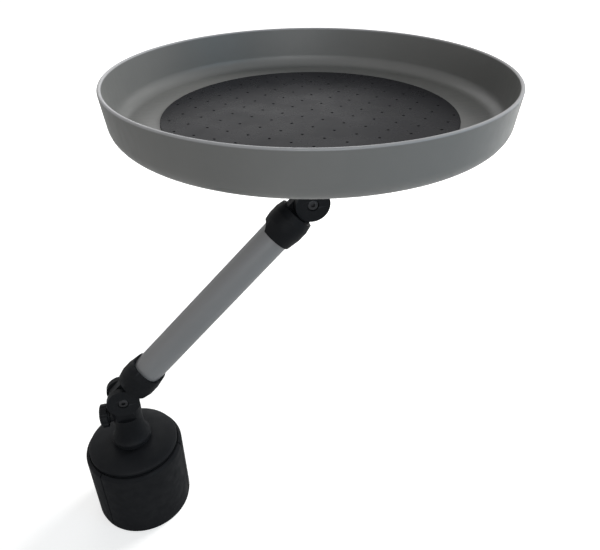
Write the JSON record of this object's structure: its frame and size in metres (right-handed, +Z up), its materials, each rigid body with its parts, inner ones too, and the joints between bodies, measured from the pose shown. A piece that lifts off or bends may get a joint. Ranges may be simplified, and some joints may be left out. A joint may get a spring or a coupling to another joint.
{
  "type": "car seat food tray",
  "caption": "Round raised-rim food tray with a non-slip mat on a tilting, swivelling arm that stands on a cup-holder insert, whose jaws a scroll dial opens.",
  "frame": {"origin": "centre of the insert's flat underside, where it stands on the cup holder's floor", "axes": "+Z up along the insert's axis; the arm leans towards +X; -Y is the near side, where the hinge bolts' heads are"},
  "size_m": [0.2868, 0.2298, 0.3233],
  "materials": {
    "insert_plastic": "fine moulded texture, near black",
    "pad_rubber": "matte rubber skin, near black",
    "joint_plastic": "fine moulded texture, near black",
    "washer_rubber": "plain, matte",
    "fastener_steel": "black oxide, satin",
    "tube_paint": "satin grey coating",
    "tray_plastic": "satin moulded grey",
    "mat_rubber": "matte, with fine dimples"
  },
  "bodies": {
    "insert": {"insert_core": "insert_plastic", "insert_floor_plate": "insert_plastic", "insert_screw_1": "fastener_steel", "insert_screw_2": "fastener_steel", "insert_screw_3": "fastener_steel", "base_swivel_washer": "washer_rubber"},
    "jaw_a": {"jaw_1": "insert_plastic", "jaw_pad_1": "pad_rubber"},
    "jaw_b": {"jaw_2": "insert_plastic", "jaw_pad_2": "pad_rubber"},
    "jaw_c": {"jaw_3": "insert_plastic", "jaw_pad_3": "pad_rubber"},
    "dial": {"expander_dial": "insert_plastic"},
    "lower_post": {"base_post": "joint_plastic", "base_hinge_bolt": "fastener_steel", "base_hinge_nut": "fastener_steel", "base_friction_washer_near": "washer_rubber", "base_friction_washer_far": "washer_rubber"},
    "lower_knob": {"base_lock_knob": "joint_plastic", "base_lock_stud": "fastener_steel"},
    "arm": {"base_sleeve": "joint_plastic", "base_sleeve_screw": "fastener_steel", "arm_tube": "tube_paint", "tray_sleeve": "joint_plastic", "tray_sleeve_screw": "fastener_steel"},
    "upper_post": {"tray_post": "joint_plastic", "tray_hinge_bolt": "fastener_steel", "tray_hinge_nut": "fastener_steel", "tray_friction_washer_near": "washer_rubber", "tray_friction_washer_far": "washer_rubber"},
    "upper_knob": {"tray_lock_knob": "joint_plastic", "tray_lock_stud": "fastener_steel"},
    "tray": {"tray_swivel_washer": "washer_rubber", "tray_flange": "joint_plastic", "tray_screw_1": "fastener_steel", "tray_screw_2": "fastener_steel", "tray_screw_3": "fastener_steel", "tray_screw_4": "fastener_steel", "tray_pan": "tray_plastic", "non_slip_mat": "mat_rubber"}
  },
  "joints": [
    {"name": "dial_turn", "type": "hinge", "parent": "insert", "child": "dial", "pos_m": [0, 0, 0.0603], "axis": [0, 0, 1], "range_deg": [0, 100]},
    {"name": "jaw_slide_a", "type": "slide", "parent": "insert", "child": "jaw_a", "axis": [0.7071, 0.7071, 0], "range_m": [0, 0.01]},
    {"name": "jaw_slide_b", "type": "slide", "parent": "insert", "child": "jaw_b", "axis": [-0.9659, 0.2588, 0], "range_m": [0, 0.01]},
    {"name": "jaw_slide_c", "type": "slide", "parent": "insert", "child": "jaw_c", "axis": [0.2588, -0.9659, 0], "range_m": [0, 0.01]},
    {"name": "arm_swivel", "type": "hinge", "parent": "insert", "child": "lower_post", "pos_m": [0, 0, 0.0684], "axis": [0, 0, 1], "continuous": true},
    {"name": "lower_knob_turn", "type": "hinge", "parent": "lower_post", "child": "lower_knob", "pos_m": [0, 0, 0.093], "axis": [-1, 0, 0], "range_deg": [-180, 180]},
    {"name": "arm_tilt", "type": "hinge", "parent": "lower_post", "child": "arm", "pos_m": [0, 0, 0.1085], "axis": [0, -1, 0], "range_deg": [-44.5, 90]},
    {"name": "tray_tilt", "type": "hinge", "parent": "arm", "child": "upper_post", "pos_m": [0.137, 0, 0.2435], "axis": [0, -1, 0], "range_deg": [-90, 44.5]},
    {"name": "upper_knob_turn", "type": "hinge", "parent": "upper_post", "child": "upper_knob", "pos_m": [0.137, 0, 0.259], "axis": [1, 0, 0], "range_deg": [-180, 180]},
    {"name": "tray_swivel", "type": "hinge", "parent": "upper_post", "child": "tray", "pos_m": [0.137, 0, 0.285], "axis": [0, 0, 1], "continuous": true}
  ],
  "couplings": [
    {"joint": "jaw_slide_a", "follows": "dial_turn", "m_per_rad": 0.0057295},
    {"joint": "jaw_slide_b", "follows": "dial_turn", "m_per_rad": 0.0057295},
    {"joint": "jaw_slide_c", "follows": "dial_turn", "m_per_rad": 0.0057295}
  ]
}
